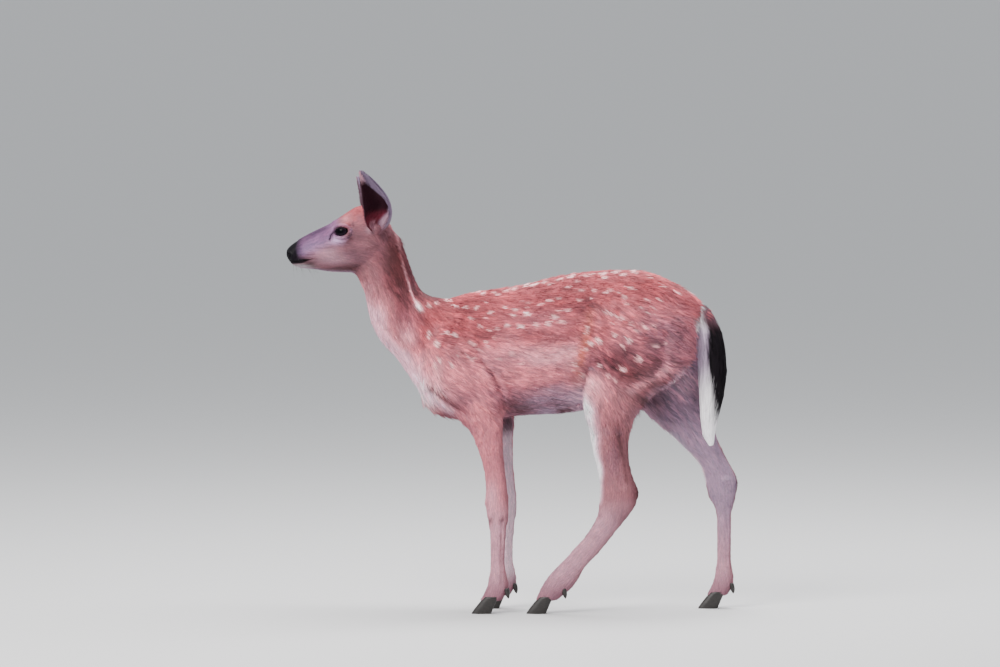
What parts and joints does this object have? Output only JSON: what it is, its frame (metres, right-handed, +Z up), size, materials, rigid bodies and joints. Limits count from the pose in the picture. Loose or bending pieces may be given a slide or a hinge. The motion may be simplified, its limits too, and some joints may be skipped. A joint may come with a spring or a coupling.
{
  "type": "white-tailed deer fawn",
  "caption": "Life-size still model of a young spotted white-tailed deer standing in profile with its head raised.",
  "frame": {"origin": "on the floor, under the middle of the animal's bounding box", "axes": "+Z up; the animal faces -X, and its left side faces -Y"},
  "size_m": [0.908, 0.1918, 0.8897],
  "materials": {
    "coat": "short rufous summer hair, spotted white",
    "eye_gloss": "dark, wet and glossy",
    "hoof_horn": "dark satin horn"
  },
  "bodies": {
    "root": {"head": "coat", "neck": "coat", "trunk": "coat", "tail": "coat", "ear_left": "coat", "ear_right": "coat", "foreleg_left": "coat", "foreleg_right": "coat", "hind_leg_left": "coat", "hind_leg_right": "coat", "cannon_front_left": "coat", "cannon_front_right": "coat", "cannon_hind_left": "coat", "cannon_hind_right": "coat", "eye_left": "eye_gloss", "eye_right": "eye_gloss", "claw_front_left_outer": "hoof_horn", "claw_front_left_inner": "hoof_horn", "claw_front_right_outer": "hoof_horn", "claw_front_right_inner": "hoof_horn", "claw_hind_left_outer": "hoof_horn", "claw_hind_left_inner": "hoof_horn", "claw_hind_right_outer": "hoof_horn", "claw_hind_right_inner": "hoof_horn", "dewclaw_front_left_outer": "hoof_horn", "dewclaw_front_left_inner": "hoof_horn", "dewclaw_front_right_outer": "hoof_horn", "dewclaw_front_right_inner": "hoof_horn", "dewclaw_hind_left_outer": "hoof_horn", "dewclaw_hind_left_inner": "hoof_horn", "dewclaw_hind_right_outer": "hoof_horn", "dewclaw_hind_right_inner": "hoof_horn"}
  },
  "joints": []
}
